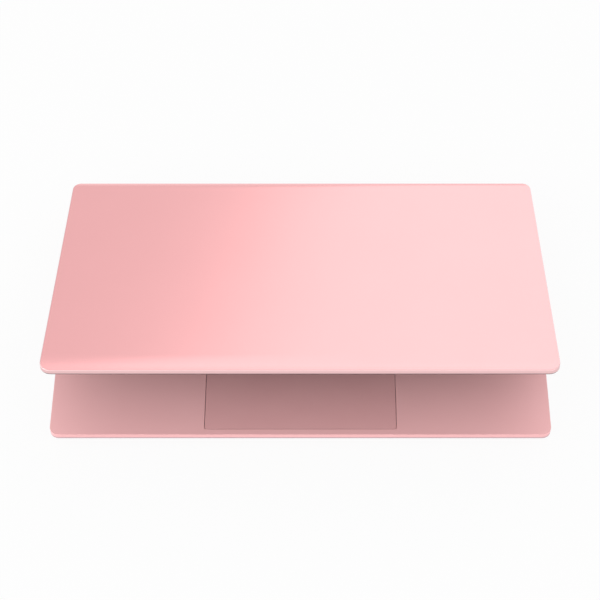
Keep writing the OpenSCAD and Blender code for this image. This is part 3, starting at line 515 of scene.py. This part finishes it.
# ---- Battery and speakers ----
# Three lithium pouches in grey foil lie in a black frame between the boards and the touchpad, and a flat
# speaker box stands at each end above its sound slots.

foil = Finish("grey_pouch_foil", Metallic=0.4).grained(
    size=0.012, detail=3, dark=(112, 116, 122), light=(140, 144, 150), rough=0.35, spread=0.2, depth=0.0002)

wear("battery_cells", foil, 0.0006, 3)
wear("battery_frame", black_plastic, 0.0002)
wear("speakers", black_plastic, 0.0004)


# ---- Sockets ----
# Each socket is a folded steel shell around a black plastic tongue, soldered to a board so that its mouth
# lines up with an opening of the tray. The headphone socket is a moulded black block.

tongue_back = 148.15
tongue_front = 158.15
tongue_slack = 0.05


def wear_socket(node_name, middles, width, height):
    """Gives a node's sockets their steel, and the tongue around each middle, a Y and a Z, its plastic."""
    socket = wear(node_name, plated, 0.0001)
    socket.data.materials.append(black_plastic.material)
    for face in socket.data.polygons:
        x, y, z = face.center * 1000
        for middle_y, middle_z in middles:
            in_width = abs(y - middle_y) < width / 2 + tongue_slack
            in_height = abs(z - middle_z) < height / 2 + tongue_slack
            if tongue_back < abs(x) < tongue_front and in_width and in_height:
                face.material_index = 1


wear_socket("usb_a_ports", ((26, 6.4), (27, 6.4)), 10.6, 1.6)
wear_socket("usb_c_port", ((70, 5.5),), 6.7, 0.7)
wear_socket("video_port", ((48, 5.3),), 11, 1)
wear("card_slot", plated, 0.0001)
wear("audio_jack", black_plastic, 0.0001)


# ---- Hinges ----
# Each hinge is a steel bracket under the deck and a steel arm in the lid. The arm's pin turns in the
# bracket's knuckle, pressed by washers and a nut, so that the lid stays where it is left.

for hinge_piece in ("left_hinge_bracket", "right_hinge_bracket", "left_hinge_arm", "right_hinge_arm",
                    "hinge_nuts"):
    wear(hinge_piece, plated, 0.00015)


# ---- Lid cover ----
# A shell drawn from aluminium sheet and anodised like the base, but polished a little finer, so that it has
# a satin sheen, with a paler blasted rim. Its back rolls down over the hinge and its front slopes down to a
# thin edge.

hinge_y = 99.5
hinge_z = 14.0
lid_angle = radians(16.3)
lid_length = 204
lid_half = 162.5
lid_top = 5.0
lid_rim = 1.0
lid_wall = 1.2
lid_sheet = 0.8
lid_edge = 0.5
edge_turns = 5

front_corner = 7.5
front_turns = 12
rear_corner = 12
behind_hinge = lid_top + 0.75
corner_y = behind_hinge - rear_corner

nose_depth = 14
nose_drop = 1.5
nose_radius = (nose_depth ** 2 + nose_drop ** 2) / (2 * nose_drop)
nose_turns = 6

roll_radius = 4.0
roll_centre = 1.0
roll_turns = 10
back_radius = 17.0
back_start = -4.0
back_turns = 7
back_turn = atan2(roll_centre - back_start, back_radius - lid_top)
flat_stations = (back_start, -5, corner_y, -100)


def nose_height(y):
    """Height of the lid's face near its front edge, where it slopes down."""
    run = min(0, y + lid_length - nose_depth)
    return lid_top - nose_radius + sqrt(nose_radius ** 2 - run ** 2)


def in_lid(point):
    """A point of the closed lid, measured from the hinge axis, where the open lid has it."""
    x, y, z = point
    return (x, hinge_y + y * cos(lid_angle) + z * sin(lid_angle),
            hinge_z - y * sin(lid_angle) + z * cos(lid_angle))


def lid_side(y):
    """Half width of the lid's outline at a depth near the hinge, where its corners are round."""
    run = max(0, y - corner_y)
    return lid_half - rear_corner + sqrt(rear_corner ** 2 - run ** 2)


# Stations along the lid's side from the hinge to the front: the depth and the height of the face there, the
# way that it faces, and how far down the wall reaches.
side_stations = []
for step in range(roll_turns):
    angle = pi / 2 - (pi / 2 - back_turn) * step / roll_turns
    ny, nz = sin(angle), cos(angle)
    side_stations.append((roll_centre + roll_radius * ny, roll_radius * nz, ny, nz, 0))
for step in range(back_turns + 1):
    angle = back_turn * (1 - step / back_turns)
    ny, nz = sin(angle), cos(angle)
    z = lid_top - back_radius + back_radius * nz
    side_stations.append((back_start + back_radius * ny, z, ny, nz, 0))
side_stations += [(y, lid_top, 0, 1, lid_rim) for y in flat_stations]
for step in range(nose_turns):
    y = -lid_length + nose_depth - (nose_depth - front_corner) * step / nose_turns
    side_stations.append((y, nose_height(y), 0, 1, lid_rim))


def lid_line(inset, sink, bottom=False):
    """A line around the lid from the left rear end by the front to the right one, moved in from the outline
    by inset and down from the face by sink, or at the bottom of the wall."""
    half = []
    for y, z, ny, nz, low in side_stations:
        half.append((lid_side(y) - inset, y - ny * sink, low if bottom else z - nz * sink))
    for step in range(front_turns + 1):
        angle = radians(90 * step / front_turns)
        y = -lid_length + front_corner - (front_corner - inset) * sin(angle)
        x = lid_half - front_corner + (front_corner - inset) * cos(angle)
        half.append((x, y, lid_rim if bottom else nose_height(y) - sink))
    return [(-x, y, z) for x, y, z in half] + half[::-1]


def bridge(mesh, first, second, material=0):
    for i in range(len(first) - 1):
        mesh.faces.new((first[i], first[i + 1], second[i + 1], second[i])).material_index = material


def across(mesh, line):
    """Fills the face between the left and the right half of a line."""
    for i in range(len(line) // 2 - 1):
        mesh.faces.new((line[i], line[-1 - i], line[-2 - i], line[i + 1]))


shell = bmesh.new()
lines = [lid_line(0, lid_edge, bottom=True)]
for step in range(edge_turns + 1):
    angle = radians(90 * step / edge_turns)
    lines.append(lid_line(lid_edge * (1 - cos(angle)), lid_edge * (1 - sin(angle))))
inner_lines = [lid_line(lid_wall, lid_sheet, bottom=True), lid_line(lid_wall, lid_sheet)]
outer = [[shell.verts.new(in_lid(p)) for p in line] for line in lines]
inner = [[shell.verts.new(in_lid(p)) for p in line] for line in inner_lines]
for low, high in zip(outer, outer[1:]):
    bridge(shell, low, high, material=1)
across(shell, outer[-1])
bridge(shell, inner[1], inner[0])
bridge(shell, inner[0], outer[0])
across(shell, inner[1])
shell.faces.new((outer[-1][0], outer[-1][-1], inner[1][-1], inner[1][0]))
for end in (0, -1):
    shell.faces.new([line[end] for line in outer[1:]] + [inner[1][end]])

satin = Finish("rose_satin_aluminium", Metallic=0.9)
satin_grain = satin.noise(0.0004, 3)
satin_cloud = satin.noise(0.05)
satin.feed(
    Base_Color=satin.mixed(satin_grain * 0.4 + satin_cloud * 0.6, paint(247, 182, 183), paint(251, 186, 187)),
    Roughness=satin_grain * 0.04 + 0.23,
)
satin.bump(satin_grain, 0.00001, 0.3)

blasted_rim = Finish("rose_blasted_rim", Metallic=0.9).grained(
    size=0.0004, detail=3, dark=(228, 188, 189), light=(232, 192, 193), rough=0.28, spread=0.04)

lid_shell = shaded(shell, "lid_shell", [satin, blasted_rim], "lid", 50)
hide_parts("lid_cover")


# ---- Screen ----
# The panel lies behind a black plastic bezel that clips into the lid cover. Above the picture the bezel has
# a hole for the camera, and small rubber buttons keep the closed lid off the deck.

panel_glass = Finish("dark_panel", Specular_IOR_Level=0.3).grained(
    size=0.0003, detail=2, dark=(12, 12, 15), light=(17, 17, 21), rough=0.2, spread=0.06)

lens_glass = Finish("lens_glass", Roughness=0.05, Coat_Weight=1)
lens_glass.feed(Base_Color=lens_glass.mixed(lens_glass.noise(0.001), paint(6, 8, 16), paint(16, 18, 34)))

wear("screen_bezel", black_plastic, 0.00015)
wear("display_panel", panel_glass, 0.0001)
wear("hinge_cover", black_plastic, 0.0002)
wear("camera_lens", lens_glass, 0.0002, 3)
wear("camera_board", solder_mask)
wear("lid_bumpers", rubber, 0.0001)


# ---- Display cable ----
# A bundle of fine wires in a black sleeve, which leaves the mainboard, twists along the hinge axis and runs
# flat over the back of the panel.

wear("display_cable", black_plastic)
wear("display_cable_tail", black_plastic)


# ---- Desk and light ----
# A desk that is seen as white, though it throws back only part of the light, in a white room. A wide panel
# behind the computer on its right makes half of the lid pale. A second one hangs above, a long one stands in
# front, and a small one stands low on either side.

white = (1, 1, 1, 1)
desk_half = 4
desk_greys = ((0.64, 0.64, 0.64, 1), (0.66, 0.66, 0.66, 1))
seen_white = 0.93
room_light = 0.82

desk_finish = Finish("white_desk", Roughness=0.9, Specular_IOR_Level=0)
desk_finish.feed(Base_Color=desk_finish.mixed(desk_finish.noise(0.4), *desk_greys))
seen, mirrored, let_through = (
    desk_finish.node("ShaderNodeLightPath", {}, (), kind)
    for kind in ("Is Camera Ray", "Is Glossy Ray", "Is Transmission Ray"))
share_white = seen.maths("MAXIMUM", mirrored.maths("MAXIMUM", let_through)) * seen_white
glow = desk_finish.node("ShaderNodeEmission", {}, {"Color": white, "Strength": 1})
desk_face = Wire(desk_finish, desk_finish.shader.outputs[0])
desk_look = desk_finish.node("ShaderNodeMixShader", {}, (share_white, desk_face, glow))
desk_finish.tree.links.new(desk_look.socket, desk_finish.tree.nodes["Material Output"].inputs["Surface"])

desk_mesh = bmesh.new()
for x, y in ((-1, -1), (1, -1), (1, 1), (-1, 1)):
    desk_mesh.verts.new((desk_half * x, desk_half * y, 0))
desk_mesh.faces.new(desk_mesh.verts)
desk_data = bpy.data.meshes.new("desk")
desk_mesh.to_mesh(desk_data)
desk_mesh.free()
desk_data.materials.append(desk_finish.material)
desk = bpy.data.objects.new("desk", desk_data)
bpy.context.scene.collection.objects.link(desk)

room = bpy.data.worlds.new("room")
room.use_nodes = True
room_nodes = room.node_tree.nodes
walls = room_nodes["Background"]
backdrop = room_nodes.new("ShaderNodeBackground")
for surface, strength in ((walls, room_light), (backdrop, 1)):
    surface.inputs["Color"].default_value = white
    surface.inputs["Strength"].default_value = strength
camera_rays = room_nodes.new("ShaderNodeLightPath")
either = room_nodes.new("ShaderNodeMixShader")
room.node_tree.links.new(camera_rays.outputs["Is Camera Ray"], either.inputs[0])
room.node_tree.links.new(walls.outputs[0], either.inputs[1])
room.node_tree.links.new(backdrop.outputs[0], either.inputs[2])
room.node_tree.links.new(either.outputs[0], room_nodes["World Output"].inputs["Surface"])
bpy.context.scene.world = room


def light_panel(name, width, height, power, middle, facing, lean=0):
    """Hangs up a panel of light that faces a point, and leans it over about its own middle."""
    lamp = bpy.data.lights.new(name, "AREA")
    lamp.shape = "RECTANGLE"
    lamp.size = width
    lamp.size_y = height
    lamp.energy = power
    holder = bpy.data.objects.new(name, lamp)
    holder.location = middle
    aim = (Vector(facing) - Vector(middle)).to_track_quat("-Z", "Y")
    holder.rotation_euler = (aim @ Quaternion((0, 0, 1), radians(lean))).to_euler()
    bpy.context.scene.collection.objects.link(holder)


light_panel("right_panel", 3.4, 3.0, power=19.4, middle=(1.485, 2.0, 1.35), facing=(1.485, 0, 1.35), lean=-20)
light_panel("top_panel", 3.4, 1.6, power=3, middle=(0, 1.0, 2.0), facing=(0, 0.2, 0))
light_panel("front_panel", 7.0, 2.4, power=36, middle=(-0.2, -1.3, 0.85), facing=(0, 0, 0))
light_panel("left_panel", 1.6, 0.7, power=8, middle=(-1.4, -0.3, 0.36), facing=(0, -0.08, 0))
light_panel("low_right_panel", 1.6, 1.0, power=3.5, middle=(1.4, -0.45, 0.45), facing=(0, -0.08, 0))
